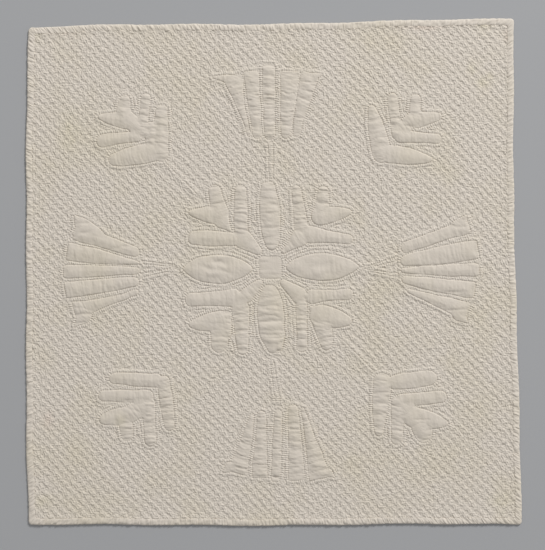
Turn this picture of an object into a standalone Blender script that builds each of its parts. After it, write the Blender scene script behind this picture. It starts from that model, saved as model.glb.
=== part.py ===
"""Whole-cloth crib quilt: one filled, quilted cotton body with raised motifs, and its folded binding.

Metres, +Z up. The quilt lies flat with its face up and the top edge of the face towards +Y. The
origin is on the surface that it rests on, under the middle of its outline's box.
"""

import math

import bmesh
import bpy
import numpy as np
from mathutils import Vector, geometry, kdtree

MM = 0.001

# Outline. Corners run anticlockwise, seen from the face, in millimetres.
CORNERS = {
    "bottom_left": (-367.7, -379.6),
    "bottom_right": (373.2, -379.6),
    "top_right": (362.0, 380.9),
    "top_left": (-367.7, 367.8),
}

HALF_BOX = Vector((373.0 * MM, 381.0 * MM))  # half the outline's box, across and along

# Each edge swings outwards of its straight line by one, two and three half waves, in millimetres.
EDGES = (
    # name, bow, sway, ripple
    ("bottom", 0.2, 0.6, -0.9),
    ("right", -3.7, 1.3, 0.1),
    ("top", 0.1, -0.6, 1.4),
    ("left", 4.5, 0.0, 1.0),
)
SCALLOP = 0.7 * MM  # small waves that the quilting draws into each edge
SCALLOP_WAVES = 5
CORNER_ROUND = 5.5 * MM
CORNER_ROUND_LOSS = 0.3  # radius lost for each metre that the outline moves inwards
CORNER_STEPS = 3
EDGE_STEPS = 20

# Quilted body, underside at 0.
GROUND = 4.0 * MM  # top of the closely quilted ground
GROUND_SWELL = 0.4 * MM  # slow unevenness of the ground
SWELL_RUN = (47.0 * MM, 61.0 * MM)  # across and along, a sixth of one swell
SWELL_FADE = 95.0 * MM  # the swell dies away over this much of the ground's edge
PUFF = 2.6 * MM  # how far an unquilted motif stands above the ground
PUFF_REACH = 11.0 * MM  # distance in from its seam at which a motif is full height
SEAM_DEPTH = 0.8 * MM  # how far the stitched outline is drawn down

# Spacing of the face's points.
SHOULDER = 3.5 * MM  # ground beside a seam that is drawn down with it
SHOULDER_LEAST = 2.8 * MM  # a shoulder point nearer to any motif is left out
SHOULDER_SPACING = 5.0 * MM
CROWN_SPACING = 8.0 * MM
CROWN_LEAST = 5.6 * MM
CROWN_INSIDE = 3.9 * MM  # a crown point is at least this far inside its seam
CROWN_ROWS = (-0.45, 0.0, 0.45)  # rows across a wide blade, as shares of its half width
WIDE_BLADE = 9.6 * MM
GROUND_SPACING = 42.0 * MM
GROUND_FROM_SEAM = 10.5 * MM
GROUND_FROM_EDGE = 35.0 * MM

# Binding: a folded strip, sewn over the flattened margin of the body.
BINDING_WIDTH = 10.0 * MM
BINDING_CLOTH = 1.0 * MM
BINDING_HEIGHT = 5.0 * MM
BINDING_FOLD = 1.6 * MM  # how far the fold's rounding reaches in from the edge
CLEARANCE = 0.3 * MM
MITRE_GAP = 0.25 * MM

# Motifs. The design is centred a little off the middle of the outline, in millimetres.
DESIGN_CENTRE = (-4.8, 7.0)
CENTRE_SQUARE = 17.0 * MM  # half its side
CENTRE_SQUARE_ROUND = 6.0 * MM

# A blade is a padded lobe: a spine from base to tip, and half its width at the base, middle and
# tip. Blunt is the length of its tip's end as a share of the tip's half width, 1 for a round end.
# Across is outwards to the side and along is upwards, in millimetres from the design's centre.
PETALS = (
    # turn, base, tip, base_width, middle_width, tip_width, blunt
    (0, 28.0, 132.0, 4.0, 20.0, 1.5, 1.0),
    (90, 28.0, 121.0, 6.0, 17.5, 6.0, 1.0),
    (180, 28.0, 131.0, 4.0, 20.0, 1.5, 1.0),
    (270, 28.0, 136.0, 5.0, 19.0, 2.0, 1.0),
)
INNER_LEAF = (
    # base_across, base_along, tip_across, tip_along, base_width, middle_width, tip_width, blunt
    (19.0, 20.0, 46.0, 50.0, 4.0, 5.0, 9.0, 1.0),
    (46.0, 53.0, 40.5, 119.0, 9.5, 8.0, 7.5, 1.0),
    (49.0, 49.0, 120.0, 43.5, 12.5, 10.5, 6.8, 1.0),
    (77.0, 83.0, 79.5, 119.0, 10.0, 7.8, 7.5, 0.8),
    (76.0, 77.0, 123.0, 84.0, 13.0, 11.5, 1.5, 1.0),
)
CORNER_LEAF = (
    # base_across, base_along, tip_across, tip_along, base_width, middle_width, tip_width, blunt
    (166.0, 174.0, 154.5, 237.0, 14.5, 12.5, 6.0, 1.0),
    (167.0, 172.0, 237.0, 165.0, 13.5, 12.5, 6.5, 1.0),
    (191.0, 202.0, 182.5, 254.5, 8.5, 8.2, 7.5, 1.0),
    (194.0, 196.0, 250.5, 190.5, 8.0, 7.0, 6.8, 1.0),
    (192.0, 203.0, 217.0, 224.0, 9.0, 11.0, 12.0, 1.0),
    (216.0, 228.0, 217.0, 252.5, 10.0, 9.2, 8.0, 1.0),
    (219.0, 224.0, 254.0, 228.0, 12.0, 9.5, 3.5, 1.0),
)
QUARTERS = (
    # across, along, and how far that quarter's corner leaf was drawn out of true
    (1, 1, 0.0, 0.0),
    (-1, 1, -4.0, -1.0),
    (-1, -1, 1.5, -3.0),
    (1, -1, 7.0, -2.0),
)

# A fan's blades spread on both sides of its middle one, from its base line outwards.
FANS = (
    # turn, base_line, side_shift
    (0, 196.0, -3.0),
    (90, 187.0, 0.0),
    (180, 194.0, 4.0),
    (270, 205.0, 11.0),
)
FAN_BLADES = (
    # base, base_side, tip, tip_side, base_width, middle_width, tip_width, blunt
    (4.0, 0.0, 107.0, 0.0, 4.2, 7.0, 9.5, 1.0),
    (6.0, 13.5, 101.0, 30.5, 6.8, 11.0, 15.0, 0.5),
    (8.0, 32.5, 96.5, 64.0, 6.2, 8.5, 12.5, 0.15),
    (85.0, 64.0, 98.0, 82.0, 11.0, 6.5, 1.5, 1.0),
)

BLADE_SAMPLES = 16
OUTLINE_STEP = 13.0 * MM
CAP_STEPS = 4
MERGE = 0.6 * MM  # outline points nearer than this are one

COTTON_COLOUR = (0.56, 0.50, 0.42, 1.0)
BINDING_COLOUR = (0.58, 0.52, 0.44, 1.0)
COTTON_ROUGHNESS = 0.92


def turned(outwards, sideways, degrees):
    """A point of a shape that grows along a ray at this angle."""
    angle = math.radians(degrees)
    ahead = Vector((math.cos(angle), math.sin(angle)))
    left = Vector((-ahead.y, ahead.x))
    return ahead * outwards + left * sideways


def make_blade(base, tip, widths, blunt):
    """A blade from points in millimetres about the design's centre."""
    middle = Vector(DESIGN_CENTRE)
    return {
        "base": (middle + Vector(base)) * MM,
        "tip": (middle + Vector(tip)) * MM,
        "widths": [width * MM for width in widths],
        "blunt": blunt,
    }


def all_blades():
    """Every blade of the design: petals, inner leaves, corner leaves and fans."""
    blades = []
    for turn, base, tip, *widths, blunt in PETALS:
        ends = turned(base, 0.0, turn), turned(tip, 0.0, turn)
        blades.append(make_blade(*ends, widths, blunt))
    for across, along, shift_x, shift_y in QUARTERS:
        for rows, shift in ((INNER_LEAF, (0.0, 0.0)), (CORNER_LEAF, (shift_x, shift_y))):
            for base_u, base_v, tip_u, tip_v, *widths, blunt in rows:
                base = base_u * across + shift[0], base_v * along + shift[1]
                tip = tip_u * across + shift[0], tip_v * along + shift[1]
                blades.append(make_blade(base, tip, widths, blunt))
    for turn, base_line, side_shift in FANS:
        for base, base_side, tip, tip_side, *widths, blunt in FAN_BLADES:
            for side in (1, -1) if base_side else (1,):
                ends = (
                    turned(base_line + base, side_shift + base_side * side, turn),
                    turned(base_line + tip, side_shift + tip_side * side, turn),
                )
                blades.append(make_blade(*ends, widths, blunt))
    return blades


def half_width(blade, share):
    """Half the blade's width at this share of the way along its spine."""
    base, middle, tip = blade["widths"]
    bend = 2 * middle - (base + tip) / 2
    return base * (1 - share) ** 2 + 2 * bend * share * (1 - share) + tip * share**2


def blade_depth(blade, points):
    """How far inside the blade each point lies, negative outside it."""
    spine = np.array(blade["tip"] - blade["base"])
    length = np.linalg.norm(spine)
    best = np.full(len(points), -1.0)
    for share in np.linspace(0, 1, BLADE_SAMPLES):
        centre = np.array(blade["base"]) + spine * share
        reach = half_width(blade, share) - np.linalg.norm(points - centre, axis=1)
        best = np.maximum(best, reach)
    past_tip = (points - np.array(blade["tip"])) @ spine / length
    return np.minimum(best, blade["blunt"] * blade["widths"][2] - past_tip)


def square_depth(points):
    """How far inside the rounded square at the design's centre each point lies."""
    away = np.abs(points - np.array(DESIGN_CENTRE) * MM) - (CENTRE_SQUARE - CENTRE_SQUARE_ROUND)
    outside = np.linalg.norm(np.maximum(away, 0), axis=1)
    inside = np.minimum(away.max(axis=1), 0)
    return CENTRE_SQUARE_ROUND - outside - inside


def motif_depth(points, blades):
    """How far inside the nearest motif each point lies, negative on the ground."""
    depth = square_depth(points)
    for blade in blades:
        depth = np.maximum(depth, blade_depth(blade, points))
    return depth


def blade_outline(blade):
    """The blade's outline, anticlockwise, with a round base and a round or blunt tip."""
    base, tip = blade["base"], blade["tip"]
    along = (tip - base).normalized()
    side = Vector((-along.y, along.x))
    steps = max(2, round((tip - base).length / OUTLINE_STEP))
    shares = [step / steps for step in range(steps + 1)]
    right = [base.lerp(tip, s) - side * half_width(blade, s) for s in shares]
    left = [base.lerp(tip, s) + side * half_width(blade, s) for s in reversed(shares)]
    tip_cap, base_cap = [], []
    for step in range(1, CAP_STEPS):
        angle = math.pi * step / CAP_STEPS
        across = -math.cos(angle)
        ahead = math.sin(angle)
        end = min(ahead, blade["blunt"])
        tip_cap.append(tip + (side * across + along * end) * blade["widths"][2])
        base_cap.append(base - (side * across + along * ahead) * blade["widths"][0])
    return right + tip_cap + left + base_cap


def square_outline():
    """The outline of the rounded square at the design's centre, anticlockwise."""
    middle = Vector(DESIGN_CENTRE) * MM
    points = []
    for step in range(4 * CAP_STEPS):
        quarter, part = divmod(step, CAP_STEPS)
        angle = math.pi / 2 * (quarter + part / (CAP_STEPS - 1))
        turn = math.pi / 4 + quarter * math.pi / 2
        corner = Vector((math.cos(turn), math.sin(turn))) * math.sqrt(2)
        arc = Vector((math.cos(angle), math.sin(angle)))
        reach = corner * (CENTRE_SQUARE - CENTRE_SQUARE_ROUND) + arc * CENTRE_SQUARE_ROUND
        points.append(middle + reach)
    return points


def joined_outline(outlines):
    """The edges around all the outlines together, each with the padded side on its left."""
    points, faces = [], []
    for outline in outlines:
        faces.append(list(range(len(points), len(points) + len(outline))))
        points += outline
    points, _, triangles, *_ = geometry.delaunay_2d_cdt(points, [], faces, 1, MERGE)
    sides = {(a, b) for face in triangles for a, b in zip(face, face[1:] + face[:1])}
    rim = sorted((a, b) for a, b in sides if (b, a) not in sides)
    used = sorted({index for side in rim for index in side})
    place = {index: number for number, index in enumerate(used)}
    return [points[index] for index in used], [(place[a], place[b]) for a, b in rim]


def spaced(points, spacing, taken=()):
    """The points that keep this distance from each other and from those already taken."""
    kept = list(taken)
    for point in points:
        if all((point - other).length >= spacing for other in kept):
            kept.append(point)
    return kept[len(taken) :]


def inset_corner(index, inset):
    """The corner of the outline once both of its straight sides have moved inwards."""
    corners = [Vector(corner) * MM for corner in CORNERS.values()]
    here = corners[index % 4]
    into = (here - corners[(index - 1) % 4]).normalized()
    out = (corners[(index + 1) % 4] - here).normalized()
    into, out = Vector((-into.y, into.x)), Vector((-out.y, out.x))
    return here + (into + out) * inset / (1 + into.dot(out))


def outward_swing(index, share):
    """How far the edge swings outwards of its straight line at this share of its length."""
    _, bow, sway, ripple = EDGES[index]
    swing = [bow, sway, ripple]
    slow = sum(size * math.sin(math.pi * (k + 1) * share) for k, size in enumerate(swing))
    return slow * MM + SCALLOP * math.sin(2 * math.pi * SCALLOP_WAVES * share)


def edge_path(index, inset, end_gap=0.0):
    """Points along one edge, moved inwards, from the diagonal of one corner to that of the next."""
    start, end = inset_corner(index, inset), inset_corner(index + 1, inset)
    length = (end - start).length
    along = (end - start) / length
    inward = Vector((-along.y, along.x))
    radius = CORNER_ROUND - CORNER_ROUND_LOSS * inset
    arc = []
    for step in range(CORNER_STEPS + 1):
        angle = math.pi / 4 * (1 - step / CORNER_STEPS)
        arc.append((end_gap + radius * (1 - math.sin(angle)), radius * (1 - math.cos(angle))))
    places = list(arc)
    for step in range(1, EDGE_STEPS):
        places.append((radius + (length - 2 * radius) * step / EDGE_STEPS, 0.0))
    places += [(length - distance, drop) for distance, drop in reversed(arc)]
    points = []
    for distance, drop in places:
        swing = outward_swing(index, distance / length)
        points.append(start + along * distance + inward * (drop - swing))
    return points


def ring(inset):
    """The whole outline moved inwards, as one closed loop of points."""
    points = []
    for index in range(4):
        points += edge_path(index, inset)[:-1]
    return points


def box_centre():
    """The middle of the outline's box, which becomes the origin."""
    points = ring(0.0)
    xs, ys = [p.x for p in points], [p.y for p in points]
    return Vector(((min(xs) + max(xs)) / 2, (min(ys) + max(ys)) / 2))


def ground_height(points):
    """The slow swell of the quilted ground, nothing at its edge."""
    fade = np.clip((np.array(HALF_BOX) - np.abs(points)) / SWELL_FADE, 0, 1).prod(axis=1)
    across, along = (points / np.array(SWELL_RUN)).T
    return GROUND + GROUND_SWELL * np.sin(across + 1.0) * np.cos(along - 0.5) * fade


def face_points(blades, border):
    """The points and seam edges of the quilt's face inside its border."""
    outlines = [blade_outline(blade) for blade in blades] + [square_outline()]
    seam, seam_edges = joined_outline(outlines)

    shoulders = []
    for a, b in seam_edges:
        run = (seam[b] - seam[a]).normalized()
        outward = Vector((run.y, -run.x))
        shoulders.append((seam[a] + seam[b]) / 2 + outward * SHOULDER)
        shoulders.append(seam[a] + outward * SHOULDER)
    away = motif_depth(np.array(shoulders), blades)
    shoulders = [p for p, depth in zip(shoulders, away) if depth < -SHOULDER_LEAST]
    shoulders = spaced(shoulders, SHOULDER_SPACING)

    crowns = [Vector(DESIGN_CENTRE) * MM]
    for blade in blades:
        spine = blade["tip"] - blade["base"]
        side = Vector((-spine.y, spine.x)).normalized()
        steps = max(1, round(spine.length / CROWN_SPACING))
        for step in range(steps + 1):
            share = step / steps
            wide = half_width(blade, share)
            row = CROWN_ROWS if wide > WIDE_BLADE else (0.0,)
            centre = blade["base"] + spine * share
            crowns += [centre + side * wide * place for place in row]
    inside = motif_depth(np.array(crowns), blades)
    crowns = [p for p, depth in zip(crowns, inside) if depth > CROWN_INSIDE]
    crowns = spaced(crowns, CROWN_LEAST)

    grid = []
    half = HALF_BOX - Vector((GROUND_FROM_EDGE, GROUND_FROM_EDGE))
    for row in range(int(2 * half.y / GROUND_SPACING) + 1):
        for column in range(int(2 * half.x / GROUND_SPACING)):
            shift = 0.5 * (row % 2)
            grid.append(Vector((column + shift, row)) * GROUND_SPACING - half)
    away = motif_depth(np.array(grid), blades)
    grid = [p for p, depth in zip(grid, away) if depth < -GROUND_FROM_SEAM]

    points = border + seam + shoulders + crowns + grid
    first = len(border)
    edges = [(a + first, b + first) for a, b in seam_edges]
    return points, edges, range(first, first + len(seam))


def face_height(points, seam_places, blades):
    """Height of the face: swelling ground, seams drawn down, motifs puffed up."""
    depth = motif_depth(points, blades)
    share = np.clip(depth / PUFF_REACH, 0, 1)
    height = ground_height(points) + PUFF * (1 - (1 - share) ** 2)
    height[seam_places] = GROUND - SEAM_DEPTH
    return height


def extrude_loop(bm, edges, loop, height):
    """Carries the open edge of the mesh on to another loop of points at one height."""
    new = bmesh.ops.extrude_edge_only(bm, edges=edges)["geom"]
    fresh = [item for item in new if isinstance(item, bmesh.types.BMVert)]
    tree = kdtree.KDTree(len(loop))
    for index, point in enumerate(loop):
        tree.insert(point.to_3d(), index)
    tree.balance()
    for vert in fresh:
        nearest = tree.find(Vector((vert.co.x, vert.co.y, 0.0)))[1]
        vert.co = loop[nearest].to_3d() + Vector((0.0, 0.0, height))
    return [item for item in new if isinstance(item, bmesh.types.BMEdge)]


def make_material(name, colour):
    """A matt cotton finish."""
    material = bpy.data.materials.new(name)
    material.use_nodes = True
    shader = material.node_tree.nodes["Principled BSDF"]
    shader.inputs["Base Color"].default_value = colour
    shader.inputs["Roughness"].default_value = COTTON_ROUGHNESS
    shader.inputs["Metallic"].default_value = 0.0
    material.diffuse_color = colour
    return material


def add_object(name, mesh, material, collection):
    mesh.materials.append(material)
    obj = bpy.data.objects.new(name, mesh)
    collection.objects.link(obj)
    return obj


def make_body(material, collection, centre):
    """The filled body: raised face, a margin pressed thin under the binding, and a flat back."""
    blades = all_blades()
    border = ring(BINDING_WIDTH + 2 * CLEARANCE)
    points, edges, seam_places = face_points(blades, border)
    border_face = list(range(len(border)))
    result = geometry.delaunay_2d_cdt(points, edges, [border_face], 1, MERGE / 10)
    flat, _, triangles, origins = result[:4]
    seam_set = set(seam_places)
    on_seam = [i for i, old in enumerate(origins) if seam_set.intersection(old)]
    on_border = [i for i, old in enumerate(origins) if any(o < len(border) for o in old)]

    height = face_height(np.array(flat), on_seam, blades)
    height[on_border] = GROUND
    bm = bmesh.new()
    verts = [bm.verts.new((p.x, p.y, z)) for p, z in zip(flat, height)]
    for face in triangles:
        bm.faces.new([verts[i] for i in face])

    margin_low = BINDING_CLOTH + CLEARANCE
    margin_high = BINDING_HEIGHT - BINDING_CLOTH - CLEARANCE
    wall = ring(BINDING_FOLD + 2 * CLEARANCE)
    under_flap = ring(BINDING_WIDTH + CLEARANCE)
    loops = (
        (under_flap, margin_high),
        (wall, margin_high),
        (wall, margin_low),
        (under_flap, margin_low),
        (border, 0.0),
    )
    rim = [edge for edge in bm.edges if edge.is_boundary]
    for loop, level in loops:
        rim = extrude_loop(bm, rim, loop, level)
    bmesh.ops.contextual_create(bm, geom=rim)
    bmesh.ops.recalc_face_normals(bm, faces=bm.faces)
    bmesh.ops.translate(bm, verts=bm.verts, vec=(-centre.x, -centre.y, 0.0))
    mesh = bpy.data.meshes.new("quilt_body")
    bm.to_mesh(mesh)
    bm.free()
    mesh.shade_smooth()
    mesh.set_sharp_from_angle(angle=math.radians(50))
    return add_object("quilt_body", mesh, material, collection)


def make_binding(index, material, collection, centre):
    """One edge's binding: a strip folded over the margin, mitred at both corners."""
    half_cloth = BINDING_CLOTH / 2
    top = BINDING_HEIGHT - half_cloth
    fold = (
        # inset, height
        (BINDING_WIDTH, top),
        (BINDING_FOLD, top),
        (half_cloth, top - BINDING_FOLD + half_cloth),
        (half_cloth, BINDING_FOLD),
        (BINDING_FOLD, half_cloth),
        (BINDING_WIDTH, half_cloth),
    )
    columns = [edge_path(index, inset, MITRE_GAP) for inset, _ in fold]
    bm = bmesh.new()
    bmesh.ops.create_grid(bm, x_segments=len(columns[0]) - 1, y_segments=len(fold) - 1, size=1.0)
    across = sorted({round(vert.co.y, 4) for vert in bm.verts})
    along = sorted({round(vert.co.x, 4) for vert in bm.verts})
    for vert in bm.verts:
        row = across.index(round(vert.co.y, 4))
        place = along.index(round(vert.co.x, 4))
        vert.co = columns[row][place].to_3d() + Vector((0.0, 0.0, fold[row][1]))
    bmesh.ops.recalc_face_normals(bm, faces=bm.faces)
    bmesh.ops.translate(bm, verts=bm.verts, vec=(-centre.x, -centre.y, 0.0))
    name = "binding_" + EDGES[index][0]
    mesh = bpy.data.meshes.new(name)
    bm.to_mesh(mesh)
    bm.free()
    mesh.shade_smooth()
    obj = add_object(name, mesh, material, collection)
    cloth = obj.modifiers.new("Cloth thickness", "SOLIDIFY")
    cloth.thickness = BINDING_CLOTH
    cloth.offset = 0.0
    cloth.use_even_offset = True
    return obj


def main():
    for old in list(bpy.data.objects):
        bpy.data.objects.remove(old, do_unlink=True)
    collection = bpy.data.collections.new("Crib quilt")
    bpy.context.scene.collection.children.link(collection)
    centre = box_centre()
    cotton = make_material("quilted white cotton", COTTON_COLOUR)
    tape = make_material("cotton binding", BINDING_COLOUR)
    make_body(cotton, collection, centre)
    for index in range(len(EDGES)):
        make_binding(index, tape, collection, centre)


main()
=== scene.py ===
import math

import bpy
import numpy as np
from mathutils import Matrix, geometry, kdtree


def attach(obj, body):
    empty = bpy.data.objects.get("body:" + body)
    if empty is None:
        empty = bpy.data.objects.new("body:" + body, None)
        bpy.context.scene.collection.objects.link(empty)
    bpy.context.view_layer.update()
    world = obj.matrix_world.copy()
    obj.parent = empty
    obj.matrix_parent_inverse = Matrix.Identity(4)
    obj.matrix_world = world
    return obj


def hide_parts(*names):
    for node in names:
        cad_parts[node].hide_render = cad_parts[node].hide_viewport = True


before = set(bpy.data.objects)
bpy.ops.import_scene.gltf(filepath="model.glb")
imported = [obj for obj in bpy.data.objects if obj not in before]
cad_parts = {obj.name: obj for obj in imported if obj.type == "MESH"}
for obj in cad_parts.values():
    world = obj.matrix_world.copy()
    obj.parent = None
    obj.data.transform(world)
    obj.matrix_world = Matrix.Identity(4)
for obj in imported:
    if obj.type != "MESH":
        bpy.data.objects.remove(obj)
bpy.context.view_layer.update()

# Quilt top. One cloth of fine white cotton muslin over a thin cotton filling, quilted by hand: an
# outline round each leaf, petal and fan, an echo line beside it, and a close crosshatch over all
# the rest, which draws the ground down so that the unquilted motifs stand up. Sizes are in mm.
MM = 0.001

# The outline's corners, anticlockwise, and how far each edge swings outwards of its straight line
# by one, two and three half waves.
CORNERS = np.array(
    (
        (-367.7, -379.6),
        (373.2, -379.6),
        (362, 380.9),
        (-367.7, 367.8),
    )
)
EDGES = (
    # name, bow, sway, ripple
    ("bottom", 0.2, 0.6, -0.9),
    ("right", -3.7, 1.3, 0.1),
    ("top", 0.1, -0.6, 1.4),
    ("left", 4.5, 0, 1),
)
SCALLOP = 0.7  # small waves that the quilting draws into each edge
SCALLOP_WAVES = 5
CORNER_ROUND = 5.5
CORNER_ROUND_LOSS = 0.3  # radius lost for each mm that the outline moves inwards
CORNER_STEPS = 5
TOP_TUCK = 8.4  # the top's cut edge lies this far in, under the binding
OUTLINE_PITCH = 5.0  # between the points that the whole outline is measured by


def unit(vectors):
    """The same directions at length 1."""
    return vectors / np.linalg.norm(vectors, axis=-1, keepdims=True)


def left_of(vectors):
    """The same vectors turned a quarter to the left."""
    return np.stack((-vectors[..., 1], vectors[..., 0]), axis=-1)


def inset_corner(index, inset):
    """The corner of the outline once both of its straight sides have moved inwards."""
    here, before, after = (CORNERS[(index + step) % 4] for step in (0, -1, 1))
    into, out = left_of(unit(here - before)), left_of(unit(after - here))
    return here + (into + out) * inset / (1 + into @ out)


def outward_swing(index, share):
    """How far an edge swings outwards of its straight line at this share of its length."""
    _, *swing = EDGES[index]
    slow = sum(size * np.sin(math.pi * (k + 1) * share) for k, size in enumerate(swing))
    return slow + SCALLOP * np.sin(2 * math.pi * SCALLOP_WAVES * share)


def edge_path(index, inset, pitch, end_gap=0.0):
    """Points along one edge, moved inwards, from one corner's diagonal to the next one's."""
    start, end = inset_corner(index, inset), inset_corner(index + 1, inset)
    length = np.linalg.norm(end - start)
    ahead = unit(end - start)
    radius = CORNER_ROUND - CORNER_ROUND_LOSS * inset
    angle = math.pi / 4 * (1 - np.arange(CORNER_STEPS + 1) / CORNER_STEPS)
    arc, drop = end_gap + radius * (1 - np.sin(angle)), radius * (1 - np.cos(angle))
    steps = round(np.linalg.norm(CORNERS[(index + 1) % 4] - CORNERS[index]) / pitch)
    straight = radius + (length - 2 * radius) * np.arange(1, steps) / steps
    distance = np.concatenate((arc, straight, length - arc[::-1]))
    drop = np.concatenate((drop, 0 * straight, drop[::-1]))
    drop = drop - outward_swing(index, distance / length)
    return start + distance[:, None] * ahead + drop[:, None] * left_of(ahead)


def ring(inset, pitch):
    """The whole outline moved inwards, as one closed loop of points."""
    return np.concatenate([edge_path(index, inset, pitch)[:-1] for index in range(4)])


def edge_distance(points):
    """How far inside the quilt's outline each point lies."""
    nearest = np.full(len(points), np.inf)
    for index in range(4):
        start, end = CORNERS[index], CORNERS[(index + 1) % 4]
        ahead = unit(end - start)
        share = (points - start) @ ahead / np.linalg.norm(end - start)
        inward = (points - start) @ left_of(ahead)
        nearest = np.minimum(nearest, inward + outward_swing(index, share))
    return nearest


outline = ring(0.0, OUTLINE_PITCH)
outline_middle = (outline.min(axis=0) + outline.max(axis=0)) / 2
CORNERS = CORNERS - outline_middle
half_span = np.abs(CORNERS).max(axis=0)

# The design, drawn about a centre a little off the outline's middle. A blade is a padded lobe: a
# spine from base to tip and half its width at the base, middle and tip. Blunt is the length of
# its tip's end as a share of the tip's half width. Petals and fans lie on rays from the centre,
# each at its turn in degrees. Leaves lie in the quarters, across is sideways and along is upwards.
DESIGN_CENTRE = np.array((-4.8, 7.0)) - outline_middle
CENTRE_SQUARE = 17.0
CENTRE_SQUARE_ROUND = 6.0
PETALS = {
    # turn: base, base_side, tip, tip_side, base_width, middle_width, tip_width, blunt
    0: ((29, 0.5, 131, 0.5, 5.5, 20.5, 2.5, 1),),
    90: ((36, -2.7, 124, 4, 9.5, 16, 9, 0.4),),
    180: ((33, 2.5, 129, 2.5, 6, 21.5, 2.5, 1),),
    270: (
        (38, -1, 120, 3.5, 12.5, 20.5, 9, 1),
        (100, 10, 122, 12, 12, 9, 6, 1),
    ),
}
# The same leaf was drawn by hand in each quarter, so its blades differ a little there.
INNER_LEAVES = {
    # base_across, base_along, tip_across, tip_along, base_width, middle_width, tip_width, blunt
    (1, 1): (
        (19.5, 24.5, 44, 44, 3.8, 7.5, 13, 1),
        (47, 60, 40, 116, 11, 8.8, 7.6, 1),
        (60, 49.5, 117, 42.8, 13.5, 9, 7.8, 1),
        (77, 82, 79.3, 114.5, 13, 9.5, 8, 1),
        (76, 77, 118, 82.5, 14, 11.5, 5, 1),
    ),
    (-1, 1): (
        (18, 24.5, 40, 42, 6.3, 10.5, 14, 1),
        (43.5, 54, 45, 115.5, 10, 10.5, 8.8, 1),
        (52, 42, 113, 44.3, 8.5, 12, 10.5, 1),
        (59, 55, 73, 71, 2, 6, 12, 1),
        (76, 82, 83.5, 114, 14, 11.5, 9.8, 1),
        (76, 77.5, 120, 82, 13, 11, 3.5, 1),
    ),
    (-1, -1): (
        (16, 23, 35, 42, 5, 8.5, 11, 1),
        (44.5, 62, 41, 122, 13, 11, 8.8, 1),
        (56, 45.5, 118, 48, 13.5, 10.8, 10, 1),
        (75.5, 84, 76, 115, 15, 14, 12.5, 1),
        (74, 80, 117, 86, 15, 12.5, 5, 1),
        (65.5, 72.5, 65.5, 100, 7.5, 7.5, 7.5, 1),
    ),
    (1, -1): (
        (20, 23, 43, 42, 5.5, 9, 12.5, 1),
        (47, 56, 47.5, 118.5, 9, 8, 8.3, 1),
        (64, 44, 116, 40.5, 11, 8.2, 9.2, 1),
        (77, 80, 85, 115, 14, 12.3, 8.7, 1),
        (75, 73, 116, 79.5, 16, 14.5, 7.5, 1),
        (62.5, 61.5, 76, 76, 3.5, 8, 14, 1),
    ),
}
CORNER_LEAVES = {
    # base_across, base_along, tip_across, tip_along, base_width, middle_width, tip_width, blunt
    (1, 1): (
        (176, 171, 240, 162.5, 13.5, 12, 4, 1),
        (167, 171, 153, 237.5, 13.8, 13, 6, 1),
        (196, 197, 250.5, 193, 10, 8.3, 7, 1),
        (191, 201, 183, 254.5, 9, 8.3, 7.8, 1),
        (196, 208, 218, 224, 9, 11, 12, 1),
        (217, 226, 217.5, 252.5, 10, 9, 8, 1),
        (221, 222, 252, 226.5, 12.5, 9.5, 6, 1),
    ),
    (-1, 1): (
        (172, 174, 234, 161.5, 13.5, 14, 9, 1),
        (165, 172, 163.5, 236, 12.8, 11.2, 9, 1),
        (200, 197, 251, 190.5, 9, 8.8, 10.3, 1),
        (193, 203, 186.3, 254.5, 9, 8, 7.5, 1),
        (178, 188, 178, 213, 10, 10, 10, 0.5),
        (196, 208, 220, 226, 9, 11.5, 13, 1),
        (222, 226, 218.5, 251, 11, 10, 7.8, 1),
        (219, 221, 255, 225.5, 13, 9.5, 4, 1),
    ),
    (-1, -1): (
        (172, 169.5, 233, 166.5, 10.5, 9.8, 8.5, 1),
        (160, 172, 151.5, 237, 9.5, 10, 7.5, 1),
        (185, 192.5, 250, 193, 9, 9, 8.2, 1),
        (184, 205, 179.5, 259.5, 11, 9, 9, 1),
        (190, 208, 214, 222, 10, 13, 13, 1),
        (218, 228, 216, 252, 11, 10, 9, 1),
        (214, 222, 249, 228, 13, 12, 7.5, 1),
    ),
    (1, -1): (
        (185, 172.5, 239, 166, 10, 12, 11.5, 1),
        (168, 172, 163, 246, 13.5, 11.5, 7, 1),
        (197, 199, 256, 194.5, 9, 9.5, 9, 1),
        (193, 205, 190, 257, 12, 9.5, 9, 1),
        (200, 210, 216, 225, 11, 14, 16, 1),
        (226, 238, 230, 250, 15, 15, 13, 1),
        (216, 225, 262, 234, 16, 13, 5, 1),
    ),
}
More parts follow.
